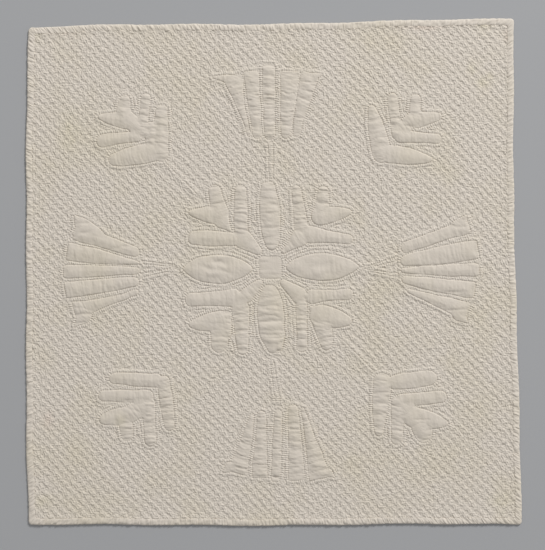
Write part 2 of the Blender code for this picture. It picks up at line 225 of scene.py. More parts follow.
FANS = {
    # turn: base, base_side, tip, tip_side, base_width, middle_width, tip_width, blunt
    0: (
        (204, 30, 296.5, 62, 8.5, 9, 11.5, 0.15),
        (281, 62, 294, 78, 10, 5.5, 1.5, 1),
        (204, 10.5, 306, 26, 8.2, 13.5, 14.5, 0.45),
        (199.5, -4.5, 307, -4, 3.8, 8, 10, 0.7),
        (203.5, -18.7, 301.5, -34, 6, 10.3, 12.4, 0.45),
        (208, -35, 295, -66, 3, 8.5, 14, 0.15),
        (283, -70, 295, -82, 10, 6, 1.5, 1),
    ),
    180: (
        (204, -23.5, 292, -53, 7.5, 10, 12.5, 0.15),
        (256, -47, 288, -61, 8, 13, 15.5, 0.3),
        (282, -60, 294, -78, 11, 6.5, 1.5, 1),
        (199.5, -7.3, 300, -23, 2.5, 9.6, 13.5, 0.4),
        (200.5, 4.5, 304, 6.3, 5.2, 8.5, 10, 0.7),
        (204, 21.7, 302.5, 34, 7.5, 10.5, 12.2, 0.45),
        (202, 38, 292, 66, 4.8, 6.8, 14.5, 0.15),
        (280, 72, 293, 88, 12, 6, 1.5, 1),
    ),
    90: (
        (199, 32, 281, 55, 3, 5.5, 14, 0.6),
        (281, 55, 286, 85, 8.5, 5, 1.5, 1),
        (201, 19.8, 291, 28.8, 7.5, 9.8, 11.6, 0.35),
        (199.5, 0.8, 299, 2.5, 8.2, 9, 10, 0.7),
        (201.5, -23.7, 291, -29.7, 7.5, 11.5, 14.2, 0.3),
        (201, -38.5, 285, -58, 5, 9.5, 13.5, 0.6),
        (285, -55, 289.5, -76, 8, 5.5, 2.5, 1),
    ),
    270: (
        (222, -27, 308.5, -49, 3, 9.5, 15, 0.1),
        (300, -60, 308, -70, 8, 4, 1, 1),
        (221.5, -13, 313, -16, 6.8, 9.2, 12, 0.3),
        (219.5, 11.7, 316, 8, 6, 7, 7.5, 0.8),
        (213.5, 34, 316.5, 40, 8, 10.3, 12.4, 0.3),
        (213, 49, 315.5, 75, 3, 9, 16.5, 0.1),
        (308, 88, 316, 98, 6, 3, 1, 1),
    ),
}
BLADE_SAMPLES = 41  # circles along a spine that make up its blade


def turned(outwards, sideways, degrees):
    """A point of the design on a ray at this angle."""
    angle = math.radians(degrees)
    ahead = np.array((math.cos(angle), math.sin(angle)))
    return DESIGN_CENTRE + ahead * outwards + left_of(ahead) * sideways


def ray_blades(design):
    """The blades of the petals or fans as base, tip, widths and blunt."""
    return [
        (turned(base, base_side, turn), turned(tip, tip_side, turn), widths, blunt)
        for turn, rows in design.items()
        for base, base_side, tip, tip_side, *widths, blunt in rows
    ]


def leaf_blades(design):
    """The blades of the leaves as base, tip, widths and blunt."""
    blades = []
    for quarter, rows in design.items():
        for base_across, base_along, tip_across, tip_along, *widths, blunt in rows:
            base = DESIGN_CENTRE + np.array((base_across, base_along)) * quarter
            tip = DESIGN_CENTRE + np.array((tip_across, tip_along)) * quarter
            blades.append((base, tip, widths, blunt))
    return blades


BLADES = ray_blades(PETALS) + leaf_blades(INNER_LEAVES)
BLADES += leaf_blades(CORNER_LEAVES) + ray_blades(FANS)


def blade_depth(blade, points):
    """How far inside the blade each point lies, negative outside it."""
    base, tip, (base_width, middle_width, tip_width), blunt = blade
    spine = tip - base
    best = np.full(len(points), -np.inf)
    bend = 2 * middle_width - (base_width + tip_width) / 2
    for share in np.linspace(0, 1, BLADE_SAMPLES):
        half = base_width * (1 - share) ** 2 + 2 * bend * share * (1 - share) + tip_width * share**2
        away = points - (base + spine * share)
        best = np.maximum(best, half - np.hypot(away[:, 0], away[:, 1]))
    past_tip = (points - tip) @ spine / np.linalg.norm(spine)
    return np.minimum(best, blunt * tip_width - past_tip)


# Unevenness of hand work, here and below as its size and its run across and along the quilt.
HAND_STRAY = (0.9, 19.0, 19.0)  # of a hand-drawn seam


def lattice(column, row, seed):
    """A fixed random number from -1 to 1 for each whole-numbered place."""
    mixed = (column.astype(np.int64) * 73856093) ^ (row.astype(np.int64) * 19349663)
    mixed = (mixed ^ (seed * 83492791)) & 0xFFFFFFFF
    mixed = ((mixed ^ (mixed >> 15)) * 0x2C1B3C6D) & 0xFFFFFFFF
    mixed = ((mixed ^ (mixed >> 12)) * 0x297A2D39) & 0xFFFFFFFF
    return ((mixed ^ (mixed >> 15)) & 0xFFFF) / 32767.5 - 1


def noise(across, along, seed):
    """Smooth noise from -1 to 1 that changes over a run of about one unit."""
    column, row = np.floor(across), np.floor(along)
    right, up = across - column, along - row
    right, up = (s * s * s * (s * (6 * s - 15) + 10) for s in (right, up))
    low = lattice(column, row, seed) * (1 - right) + lattice(column + 1, row, seed) * right
    high = lattice(column, row + 1, seed) * (1 - right)
    high = high + lattice(column + 1, row + 1, seed) * right
    return low * (1 - up) + high * up


def rough(x, y, size, run_across, run_along, seed):
    """Unevenness of this size that changes over these runs."""
    return size * noise(x / run_across, y / run_along, seed)


# Creases of the motifs' cloth.
CREASE_RUN = 6.5  # about the distance between two creases of a blade of middling width
CREASE_DEPTH = 0.85
CREASE_SHARPNESS = 2.5
MIDDLING_WIDTH = 14.0
NARROW_WIDTH = 9.0  # a blade up to this half width is creased most
CREASED = 0.6  # strength of a slanting blade's creases
UPRIGHT_CREASED = 0.9  # strength added on a narrow upright blade
LEVEL_CREASED = 0.1
LEVEL_CLOSER = 0.3  # a level blade's creases lie closer by this share
CREASE_WANDER = (0.35, 14.0, 28.0)
CREASE_LENGTH = 26.0
WIDE_FOLDS = 0.4  # share of the small wrinkles that the widest blade would keep at the least
FOLDS = (
    # run_across, run_along, height of the small wrinkles inside a motif
    (10, 3, 0.34),
    (6, 1.8, 0.26),
)
MAIN_CREASE_STRAY = 1.2
MAIN_CREASE_RUN = 9.0
CREASES = (
    # across, along, half_length, tilt, depth, half_width of the creases that show most, and a
    # depth below 0 is a ridge between two of them
    (0, -80, 17, 1, 1, 2.4),
    (0, -88, 17, 0, -0.7, 3),
    (0, -57.5, 16, -2, 0.8, 2.2),
    (-1, -66, 15, -2, -0.5, 4),
    (-4, -101, 15, -4, 0.8, 2.2),
    (2, -108, 14, -4, -0.6, 3.2),
    (1, -94, 14, 2, 0.5, 1.8),
    (6, 94, 7, 3, 0.8, 2.6),
    (1, 60, 14, 0, 0.6, 1.7),
    (0, 78, 14, 1, 0.5, 2),
    (0, 55, 13, 0, -0.4, 2.6),
    (-3, 33, 8, -5, 0.5, 1.6),
    (-76, 7, 13, -3, 1.5, 4.5),
    (-96, 0, 9, -25, 0.9, 4),
    (-68, -5, 9, -22, 0.8, 3),
    (-87, -8, 10, 4, -1.1, 4.5),
    (-70, 15, 15, 2, -0.6, 4),
    (78, 3, 20, 8, 0.6, 6),
    (66, -9, 14, 12, -0.5, 6),
    (-2.5, 293, 7, 0, 0.9, 1.7),
    (24, 292, 8, 0, 0.6, 1.5),
    (-51, 271.5, 6, 0, 0.5, 1.3),
    (33, -241.5, 7, -12, 0.9, 2.2),
    (31, -289, 9, 0, 0.6, 1.4),
    (38.5, -301.5, 9, 2, 0.7, 1.5),
    (38.5, -313, 9, -2, 0.5, 1.3),
    (8, -313.5, 7, 0, 0.8, 1.5),
    (-38, -262.5, 8, 3, 0.7, 1.6),
    (-39, -282, 7, 8, 0.7, 1.6),
    (-282, -61.5, 12, -8, 0.6, 1.6),
    (-281.5, -70.5, 14, 4, 1.1, 1.9),
    (-283, -82.5, 12, 0, 0.8, 1.6),
    (-288, -91, 7, 0, 0.6, 1.5),
    (-281, 66, 11, 2, 0.9, 1.8),
    (-278, 52.5, 9, 12, 0.7, 2),
    (-221, 31.5, 13, 10, 0.7, 2.4),
    (-254, -27, 7, 90, 0.8, 1.3),
    (284, 62, 12, -4, 0.9, 2.2),
    (280, -64, 17, 2, 0.9, 1.8),
    (275, -36.5, 15, 2, 0.8, 1.5),
    (197, 221, 7, -35, 0.9, 1.8),
    (208, 213, 7, -8, 0.9, 1.8),
    (226, 230, 15, 87, 0.8, 1.5),
    (-198, -201, 23, 0, 0.8, 1.6),
    (-203, -215, 9, -18, 0.7, 1.7),
    (229, -229, 14, 0, 0.7, 1.5),
    (231, -258, 12, 0, 0.6, 1.4),
    (70, -82, 10, -20, 0.9, 1.9),
    (80, -112.5, 8, 0, 0.6, 1.5),
    (84, -82, 15, -12, 0.5, 1.5),
    (-83, 107, 8, 10, 0.45, 1.3),
    (-80, 95, 8, 0, 0.4, 1.6),
    (-96, -83, 14, -8, 0.35, 1.6),
    (340, 355, 7, -20, 0.8, 1.7),
    (350, 346, 10, -42, 0.9, 1.8),
    (357, 334, 9, -38, 0.8, 1.7),
    (229, 341, 116, 0.9, 0.3, 1.2),
    (347.5, -285, 31, 90, 0.4, 1.2),
)


def creases(number, blade, points):
    """Puckers that a blade's stitches draw square across it, most where it runs upright."""
    base, tip, widths, _ = blade
    ahead = unit(tip - base)
    along, across = (points - base) @ ahead, (points - base) @ left_of(ahead)
    narrow = min(NARROW_WIDTH / widths[1], 1)
    upright = 2 * ahead[1] ** 2 - 1
    level = max(-upright, 0)
    pitch = CREASE_RUN * math.sqrt(widths[1] / MIDDLING_WIDTH) * (1 - LEVEL_CLOSER * level)
    strength = CREASED + narrow * (UPRIGHT_CREASED * max(upright, 0) + LEVEL_CREASED * level)
    wander = rough(across, along, *CREASE_WANDER, number + 200)
    fold = noise(across / CREASE_LENGTH, along / pitch + wander, number + 100)
    height = -CREASE_DEPTH * (1 - np.abs(fold)) ** CREASE_SHARPNESS
    for seed, (run_across, run_along, size) in enumerate(FOLDS):
        wrinkle = noise(across / run_across, along / run_along + wander, number + 300 * (seed + 1))
        height += size * (WIDE_FOLDS + (1 - WIDE_FOLDS) * narrow) * wrinkle
    return height * strength


def main_creases(points):
    """The creases that show most, each a soft trough or ridge that fades out at its ends."""
    height = np.zeros(len(points))
    for across, along, half_length, tilt, depth, half_width in CREASES:
        away = points - DESIGN_CENTRE - (across, along)
        angle = math.radians(tilt)
        run = np.array((math.cos(angle), math.sin(angle)))
        ahead, beside = away @ run, away @ left_of(run)
        stray = noise(ahead / MAIN_CREASE_RUN, 0 * ahead + across, 33)
        beside = beside + MAIN_CREASE_STRAY * stray
        height -= depth * np.exp(-((beside / half_width) ** 2) - (ahead / half_length) ** 4)
    return height


ECHO = 5.2  # from a motif's seam out to its echo line
BLADE_REACH = 3 * ECHO  # farther out than this from a blade, its depth isn't worked out
NEXT_TO_NOTHING = 1e-6


def motif_depth(points):
    """How far inside the nearest motif each point lies, and the creases of its cloth there."""
    x, y = points.T
    points = points + np.stack([rough(x, y, *HAND_STRAY, seed) for seed in (31, 32)], axis=1)
    away = np.abs(points - DESIGN_CENTRE) - (CENTRE_SQUARE - CENTRE_SQUARE_ROUND)
    outside = np.linalg.norm(np.maximum(away, 0), axis=1)
    depth = CENTRE_SQUARE_ROUND - outside - np.minimum(away.max(axis=1), 0)
    crease, weight = np.zeros(len(points)), np.full(len(points), NEXT_TO_NOTHING)
    for number, blade in enumerate(BLADES):
        base, tip, widths, _ = blade
        reach = max(widths) + BLADE_REACH
        low, high = np.minimum(base, tip) - reach, np.maximum(base, tip) + reach
        near = np.flatnonzero(((points > low) & (points < high)).all(axis=1))
        if not len(near):
            continue
        inside = blade_depth(blade, points[near])
        depth[near] = np.maximum(depth[near], inside)
        near, inside = near[inside > 0], inside[inside > 0]
        crease[near] += inside**2 * creases(number, blade, points[near])
        weight[near] += inside**2
    return depth, crease / weight


# Straight stitched stems, along a ray outwards from the centre and to its left.
STEMS = (
    # turn, from_out, from_side, to_out, to_side
    (0, 193, 17, 146, 1.5),
    (0, 193, 10.5, 144, -2),
    (0, 193, -9, 146, -3.5),
    (0, 193, -15, 150, -6),
    (90, 184, 3.5, 129, 2),
    (90, 184, -4.5, 129, -4),
    (180, 191, -9.5, 143, -3.8),
    (180, 191, -4.8, 148, -1.2),
    (180, 191, 8.2, 150, 2.6),
    (180, 191, 14.8, 154, 6.3),
    (270, 202, 15, 141, 5),
    (270, 202, 7.5, 143, -0.5),
    (135, 226, 0, 158, 0),
    (315, 226, 0, 158, 0),
)
STITCH = 3.2  # one stitch and the gap after it, 8 to the inch
STEM_LINES = [
    (turned(from_out, from_side, turn), turned(to_out, to_side, turn))
    for turn, from_out, from_side, to_out, to_side in STEMS
]


def nearest_stem(points):
    """Distance from each point to the nearest stitched stem, and its place in the stitch there."""
    nearest, phase = np.full(len(points), np.inf), np.zeros(len(points))
    for start, end in STEM_LINES:
        ahead = unit(end - start)
        along = np.clip((points - start) @ ahead, 0, np.linalg.norm(end - start))
        away = points - (start + along[:, None] * ahead)
        distance = np.hypot(away[:, 0], away[:, 1])
        phase = np.where(distance < nearest, np.cos(2 * math.pi * along / STITCH), phase)
        nearest = np.minimum(nearest, distance)
    return nearest, phase


# The crosshatch wanders with the marking and the sewing, and its lines jump up and down a little
# from stitch to stitch. Falling lines run flatter inside each cell, and step down where a rising
# line crosses.
CELL = 10.0  # between two lines
STITCHES_A_CELL = 3
MARKING_STRAY = (2.0, 85.0, 85.0)
SEWING_STRAY = (0.45, 19.0, 19.0)
LINE_JUMP = (0.3, 8.0, 3.6)
WAVE = 1.2
UNDRIFT_ROUNDS = 8


def crosshatch_drift(points):
    """How far hand marking and sewing moved the crosshatch out of true."""
    x, y = points.T
    slow = [rough(x, y, *MARKING_STRAY, seed) for seed in (1, 2)]
    quick = [rough(x, y, *SEWING_STRAY, seed) for seed in (3, 4)]
    steps = rough(x, y, *LINE_JUMP, 5) - WAVE * np.sin(math.pi * math.sqrt(2) / CELL * (x - y))
    return np.stack((slow[0] + quick[0], slow[1] + quick[1] + steps), axis=1)


def from_cells(cells):
    """Places on the quilt of places counted in crosshatch cells."""
    straight = np.stack((cells[:, 0] + cells[:, 1], cells[:, 1] - cells[:, 0]), axis=1)
    straight = straight * CELL / math.sqrt(2)
    return straight + crosshatch_drift(straight)


def to_cells(points):
    """Places counted in crosshatch cells of places on the quilt."""
    straight = points
    for _ in range(UNDRIFT_ROUNDS):
        straight = points - crosshatch_drift(straight)
    x, y = straight.T / CELL / math.sqrt(2)
    return np.stack((x - y, x + y), axis=1)


def whole_pairs(most):
    """Every pair of whole numbers from minus this one up to it."""
    whole = np.arange(-most, most + 1)
    return np.stack(np.meshgrid(whole, whole), axis=-1).reshape(-1, 2)


def traced(field, level, first):
    """Closed lines on which a field sampled on a grid has this level, higher side on the left."""
    above = field > level
    corners = above[:-1, :-1], above[1:, :-1], above[1:, 1:], above[:-1, 1:]
    count = sum(corner.astype(int) for corner in corners)
    follow = {}
    for i, j in np.argwhere((count > 0) & (count < 4)).tolist():
        square = ((i, j), (i + 1, j), (i + 1, j + 1), (i, j + 1))
        sides = [(square[k], square[(k + 1) % 4]) for k in range(4)]
        for k, (a, b) in enumerate(sides):
            if above[a] and not above[b]:
                back = next(s for s in (3, 2, 1) if above[sides[(k + s) % 4][1]]
                            and not above[sides[(k + s) % 4][0]])
                follow[tuple(sorted((a, b)))] = tuple(sorted(sides[(k + back) % 4]))
    loops = []
    while follow:
        key = next(iter(follow))
        loop = []
        while key in follow:
            a, b = key
            share = (level - field[a]) / (field[b] - field[a])
            loop.append(np.array(a) + share * (np.array(b) - np.array(a)))
            key = follow.pop(key)
        loops.append(first + np.array(loop) * FIELD_STEP)
    return loops


def distance_along(path):
    """Distance along a line at each of its points."""
    return np.concatenate(([0], np.cumsum(np.linalg.norm(np.diff(path, axis=0), axis=1))))


def paced(loop, pitch):
    """A closed line's points at an even pitch, an even number of them."""
    closed = np.concatenate((loop, loop[:1]))
    length = distance_along(closed)
    count = 2 * round(length[-1] / pitch / 2)
    places = np.arange(count) / count * length[-1]
    return np.stack([np.interp(places, length, closed[:, axis]) for axis in (0, 1)], axis=1)


def leftwards(loop):
    """Unit vectors to the left of a closed line at each of its points."""
    return left_of(unit(np.roll(loop, -1, axis=0) - np.roll(loop, 1, axis=0)))


# The depth inside the motifs, sampled on a square grid. Its lines at 0 and at the echo's distance
# are the seams and the echo lines.
FIELD_STEP = 1.0
FIELD_STEPS = 330  # on each side of the middle, which takes in all the motifs
reach = FIELD_STEPS * FIELD_STEP
field_side = 2 * FIELD_STEPS + 1
field = motif_depth(whole_pairs(FIELD_STEPS) * FIELD_STEP)[0].reshape(field_side, field_side).T

# Ground that is wide enough for the crosshatch. Narrower strips between two echo lines stay plain.
ROOM = 4  # least half width of ground with a crosshatch
wide = field < -ECHO - ROOM
crossed = np.zeros(field.shape)
for i in range(-ROOM, ROOM + 1):
    for j in range(-ROOM, ROOM + 1):
        if math.hypot(i, j) <= ROOM:
            crossed = np.maximum(crossed, np.roll(wide, (i, j), axis=(0, 1)))
for axis in (0, 1):
    crossed = (np.roll(crossed, 1, axis) + 2 * crossed + np.roll(crossed, -1, axis)) / 4


def crosshatched(points):
    """1 where the ground carries the crosshatch, 0 in a narrow strip beside the motifs."""
    place = np.rint((points + reach) / FIELD_STEP).astype(int)
    inside = ((place >= 0) & (place < field_side)).all(axis=1)
    place = np.clip(place, 0, field_side - 1)
    return np.where(inside, crossed[place[:, 0], place[:, 1]], 1.0)


FINE = STITCH / 2  # between the points of a stitched line, two for each stitch
SHORTEST_LOOP = 8  # a loop of up to 8 points is only a speck where two lines nearly touch
seam_loops, echo_loops = (
    [paced(loop, FINE) for loop in traced(field, level, -reach) if len(loop) > SHORTEST_LOOP]
    for level in (0.0, -ECHO)
)
LEVEL_LADDER = 0.4  # share of the ladder along a level seam, whose stitches are drawn less tight


def phase_finder(loops):
    """A lookup of the nearest sewn point with its line's direction and its place in the stitch."""
    tree = kdtree.KDTree(sum(len(loop) for loop in loops))
    left = np.concatenate([leftwards(loop) for loop in loops])
    number = np.concatenate([np.arange(len(loop)) for loop in loops])
    for index, (x, y) in enumerate(np.concatenate(loops)):
        tree.insert((x, y, 0.0), index)
    tree.balance()
    return tree, left, number


def stitch_phase(points, finder):
    """Above 0 between two stitches of the nearest line, below 0 at the middle of a stitch."""
    tree, left, number = finder
    phase = np.empty(len(points))
    for place, (x, y) in enumerate(points):
        at, index, _ = tree.find((x, y, 0.0))
        ahead = left[index][1] * (x - at[0]) - left[index][0] * (y - at[1])
        upright = LEVEL_LADDER + (1 - LEVEL_LADDER) * abs(left[index][0])
        phase[place] = upright * math.cos(math.pi * (number[index] + ahead / FINE))
    return phase


seam_finder = phase_finder(seam_loops)
echo_finder = phase_finder(echo_loops)

# Heights of the face above the surface that the quilt lies on.
VALLEY = 3.0  # along every stitched line
LINE_PUFF = 2.2  # how steeply the cloth rises beside a line: 1 is even, and more is steeper
CELL_PUFF = 0.58
RISING_LINE_PUFF = 1.2  # beside the lines from lower left to upper right
CELL_SKEW = 0.15  # how far the highest place of a cell strays from its middle
CELL_TILT = 0.35
CELL_UNEVEN = 0.25  # from one cell to the next
FILLING_UNEVEN = (0.22, 60.0, 60.0)
PUCKER_UNEVEN = (0.2, 5.0, 4.0)
CROSSING_DIP = 0.85  # where two lines cross, the thread pulls the cloth down most
CROSSING_REACH = 2.1
STITCH_DIP = 0.27
STITCH_REACH = 1.7
CALM_BY_ECHO = 4.0  # this near to an echo line, a stem or the binding, the cells are lower
CALM_BY_STEM = 3.5
CALM_BY_BINDING = 2.5
BINDING_LINE = 8.0
CRINKLES = (
    # height, run_across, run_along of the small rough puckers of washed quilting
    (0.08, 5.5, 3.2),
    (0.44, 4.6, 1.35),
    (0.44, 1.35, 2.4),
)
CRINKLED_VALLEY = 0.5  # share of them along the lines of the crosshatch
CHANNEL_CRINKLED = 0.5  # and between a seam and its echo line
STRIP_CRINKLED = 0.8
STEM_CRINKLED = 0.9
MOTIF_CRINKLED = 0.22
CHANNEL_PUFF = 0.75
CHANNEL_UNEVEN = (0.35, 8.0, 8.0)
LADDER = 0.38  # the ticks that the stitches draw across a channel
LADDER_UNEVEN = (0.7, 5.0, 4.0)
ECHO_LADDER = 0.5  # share of it outside the echo line
STEM_LADDER = 0.6
MOTIF_LADDER = 0.8
SEAM_TICKS = 6.0  # how far a seam's ticks reach into its motif
SEAM_TICK_FADE = 3.0
ECHO_TICKS = 5.0
ECHO_TICK_FADE = 1.5
TICKS_MEET = 0.7  # from an echo line to where its ticks give way to the seam's
STEM_REACH = 5.0  # the crosshatch stops this far from a stem
STEM_BLEND = 1.5
SHOULDER_PUFF = 1.0
SHOULDER = 1.8  # a motif rises steeply this far in from its seam
MOTIF_PUFF = 1.5
MOTIF_REACH = 17.0  # distance in from its seam at which a motif is full height
MOTIF_ROLLING = (0.3, 17.0, 11.0)
CREASE_ROOM = 3.0  # creases die out this near to the seam
GROUND_CREASED = 0.7
SQUARE_FOLDS = (0.7, 15.0, 3.8)
SQUARE_HEIGHT = 0.6
SQUARE_SOFTNESS = 0.3  # the square is filled less than the motifs, so its rim rises slowly
SQUARE_MARGIN = 2.0
EDGE_FULL = 0.5  # the cut edges folded inside the binding fill it out beside it
EDGE_PUCKERS = (0.6, 2.2, 12.0)
EDGE_REACH = 4.0
EDGE_LINE = 9.0


def puffed(share, power):
    """0 at a stitched line, rising steeply and levelling off at 1."""
    return 1 - (1 - np.clip(share, 0, 1)) ** power


def crinkled(x, y, seed):
    """The small rough puckers of washed quilting."""
    return sum(rough(x, y, *crinkle, seed + row) for row, crinkle in enumerate(CRINKLES))


def ground_height(points, depth, stem, edge):
    """Height of the crosshatched ground above its stitched lines."""
    x, y = points.T
    cells = to_cells(points)
    whole = np.floor(cells)
    skew = np.stack([lattice(*whole.T, seed) for seed in (11, 12)], axis=1)
    place = (cells - whole) ** np.exp(CELL_SKEW * skew)
    share = 1 - np.abs(2 * place - 1)
    dome = puffed(share[:, 0], RISING_LINE_PUFF) * puffed(share[:, 1], LINE_PUFF)
    fullness = 1 + CELL_UNEVEN * lattice(*whole.T, 13) + rough(x, y, *FILLING_UNEVEN, 14)
    fullness = fullness + rough(x, y, *PUCKER_UNEVEN, 24)
    for axis in (0, 1):
        fullness = fullness + CELL_TILT * lattice(*whole.T, 21 + axis) * (place[:, axis] - 0.5)
    line = np.abs(cells - np.round(cells)) * CELL
    pull = np.exp(-((line / STITCH_REACH) ** 2))
    beat = np.cos(2 * math.pi * STITCHES_A_CELL * cells)
    dips = STITCH_DIP * (pull[:, 0] * beat[:, 1] + pull[:, 1] * beat[:, 0])
    dips -= CROSSING_DIP * np.exp(-(line**2).sum(axis=1) / CROSSING_REACH**2)
    calm = puffed((-depth - ECHO) / CALM_BY_ECHO, 2) * puffed(stem / CALM_BY_STEM, 2)
    calm = calm * puffed((edge - BINDING_LINE) / CALM_BY_BINDING, 2)
    crinkle = crinkled(x, y, 15) * (CRINKLED_VALLEY + (1 - CRINKLED_VALLEY) * dome)
    return (CELL_PUFF * fullness * dome + crinkle) * calm + dips


def edge_puckers(points, edge):
    """Puckers that the binding's stitches draw into the quilt, square to its edge."""
    sideways = np.abs(points / half_span)
    run = np.where(sideways[:, 0] > sideways[:, 1], points[:, 1], points[:, 0])
    beside = np.exp(-np.maximum(edge - EDGE_LINE, 0) / EDGE_REACH)
    return (EDGE_FULL + rough(run, edge, *EDGE_PUCKERS, 41)) * beside


def face_height(points):
    """Height of the quilted face in mm."""
    x, y = points.T
    depth, crease = motif_depth(points)
    edge = edge_distance(points)
    stem, stem_phase = nearest_stem(points)
    crosshatch = crosshatched(points)
    ground, channel, motif = depth < -ECHO, (depth >= -ECHO) & (depth < 0), depth >= 0

    phase = np.zeros(len(points))
    by_seam = depth > -ECHO + TICKS_MEET
    near_seam = np.flatnonzero(by_seam & (depth < SEAM_TICKS))
    near_echo = np.flatnonzero(~by_seam & (depth > -ECHO - ECHO_TICKS))
    phase[near_seam] = stitch_phase(points[near_seam], seam_finder)
    phase[near_echo] = stitch_phase(points[near_echo], echo_finder)
    ladder = LADDER * phase * (1 + rough(x, y, *LADDER_UNEVEN, 20))

    past_echo = -depth - ECHO
    full_channel = CHANNEL_PUFF * (1 + rough(x, y, *CHANNEL_UNEVEN, 17))
    crinkle = crinkled(x, y, 51)
    strip_height = full_channel * puffed(past_echo / (ECHO / 2), LINE_PUFF)
    strip_height += ladder + STRIP_CRINKLED * crinkle
    outer_height = crosshatch * ground_height(points, depth, stem, edge)
    outer_height += (1 - crosshatch) * strip_height
    fading = np.exp(-np.maximum(past_echo, 0) / ECHO_TICK_FADE)
    outer_height += crosshatch * ECHO_LADDER * ladder * fading

    stem_height = full_channel * puffed(stem / (ECHO / 2), LINE_PUFF)
    stem_height += STEM_CRINKLED * crinkle + STEM_LADDER * LADDER * stem_phase
    beside_stem = np.clip((STEM_REACH - stem) / STEM_BLEND, 0, 1)
    outer_height = (1 - beside_stem) * outer_height + beside_stem * stem_height

    from_line = np.minimum(-depth, ECHO + depth)
    channel_height = full_channel * puffed(from_line / (ECHO / 2), LINE_PUFF)
    channel_height += ladder + CHANNEL_CRINKLED * crinkle

    in_square = np.abs(points - DESIGN_CENTRE).max(axis=1) < CENTRE_SQUARE + SQUARE_MARGIN
    filled = depth * np.where(in_square, SQUARE_SOFTNESS, 1.0)
    inside = puffed(depth / CREASE_ROOM, 2)
    square_folds = np.where(in_square, rough(x, y, *SQUARE_FOLDS, 19), 0.0)
    motif_height = SHOULDER_PUFF * puffed(filled / SHOULDER, 2)
    motif_height += MOTIF_PUFF * puffed(filled / MOTIF_REACH, 2)
    motif_height += inside * (crease + rough(x, y, *MOTIF_ROLLING, 18) + square_folds)
    motif_height += MOTIF_CRINKLED * crinkled(x, y, 54)
    motif_height *= np.where(in_square, SQUARE_HEIGHT, 1.0)
    motif_height += MOTIF_LADDER * ladder * np.exp(-depth / SEAM_TICK_FADE)

    height = np.where(ground, outer_height, np.where(channel, channel_height, motif_height))
    height += main_creases(points) * np.where(motif, inside, GROUND_CREASED)
    return height + VALLEY + edge_puckers(points, edge)


# The face's points: the top's cut edge, the stitched lines, rows beside them, and two grids.
POINTS_A_CELL = 8  # along and across the crosshatch
INNER_ROWS = (0.9, 1.9, 3.2)  # in from a seam
CHANNEL_ROWS = (-1.3, -2.6, -3.9)
STEM_ROWS = (0.0, 1.3, -1.3, 2.6, -2.6)  # on a stem and to both sides of it
ROW_SLACK = 0.3  # a row's point is dropped where another seam comes nearer than this
INNER_GRID = 1.7
INNER_GRID_FROM = 3.9
BORDER_PITCH = 2.0
KEEP_OFF = 0.95  # a grid point is at least this far from a stitched line
POINT_SQUARE = 0.8  # only the first point in each square of this size is kept


def ground_grid(points_a_cell, keep_off):
    """Points in rows along the crosshatch, clear of the quilt's edge and of the echo lines."""
    grid = from_cells(whole_pairs(reach_in_cells) / points_a_cell)
    grid = grid[(np.abs(grid) < half_span).all(axis=1)]
    grid = grid[edge_distance(grid) > TOP_TUCK + keep_off]
    return grid[motif_depth(grid)[0] < -ECHO - keep_off]


# A little more than the corners need, because the crosshatch wanders.
reach_in_cells = int(2.1 * half_span.max() / CELL * POINTS_A_CELL / math.sqrt(2))
border = ring(TOP_TUCK, BORDER_PITCH)
groups = [border, np.concatenate(seam_loops), np.concatenate(echo_loops)]
stem_points = []
for start, end in STEM_LINES:
    steps = round(np.linalg.norm(end - start) / FINE)
    row = start + (end - start) * np.linspace(0, 1, steps + 1)[:, None]
    stem_points += [row + left_of(unit(end - start)) * offset for offset in STEM_ROWS]
stem_points = np.concatenate(stem_points)
groups.append(stem_points[motif_depth(stem_points)[0] < -ECHO - KEEP_OFF])
for offset in INNER_ROWS + CHANNEL_ROWS:
    row = np.concatenate([loop + leftwards(loop) * offset for loop in seam_loops])
    groups.append(row[np.abs(motif_depth(row)[0] - offset) < ROW_SLACK])
ground = ground_grid(POINTS_A_CELL, KEEP_OFF)
groups.append(ground[nearest_stem(ground)[0] > max(STEM_ROWS) + KEEP_OFF])
inner_grid = whole_pairs(int(reach / INNER_GRID)) * INNER_GRID
groups.append(inner_grid[motif_depth(inner_grid)[0] > INNER_GRID_FROM])
face_points = np.concatenate(groups)
square_of = np.floor(face_points / POINT_SQUARE).astype(np.int64)
kept = np.unique(square_of, axis=0, return_index=True)[1]
kept = np.sort(kept[kept >= len(border)])
face_points = np.concatenate((border, face_points[kept]))


def triangulated(points, border_count):
    """The points joined into triangles inside the closed line of the first of them."""
    edge_face = list(range(border_count))
    flat = [tuple(point) for point in points.tolist()]
    made = geometry.delaunay_2d_cdt(flat, [], [edge_face], 1, 1e-4)
    return np.array([tuple(p) for p in made[0]]), np.array(made[2])


def mesh_object(name, points, faces, material):
    """A smooth mesh object from points in mm."""
    mesh = bpy.data.meshes.new(name)
    mesh.from_pydata((points * MM).tolist(), [], faces)
    mesh.shade_smooth()
    mesh.materials.append(material)
    obj = bpy.data.objects.new(name, mesh)
    bpy.context.scene.collection.objects.link(obj)
    return obj


def corner_normals(points, faces, crispness):
    """Normals for each corner of each triangle, between the smooth and the flat one."""
    first, second, third = (points[faces[:, corner]] for corner in range(3))
    flat = np.cross(second - first, third - first)
    smooth = np.zeros(points.shape)
    for corner in range(3):
        for axis in range(3):
            smooth[:, axis] += np.bincount(faces[:, corner], flat[:, axis], len(points))
    share = crispness[faces][..., None]
    return unit(unit(smooth)[faces] * (1 - share) + unit(flat)[:, None] * share)


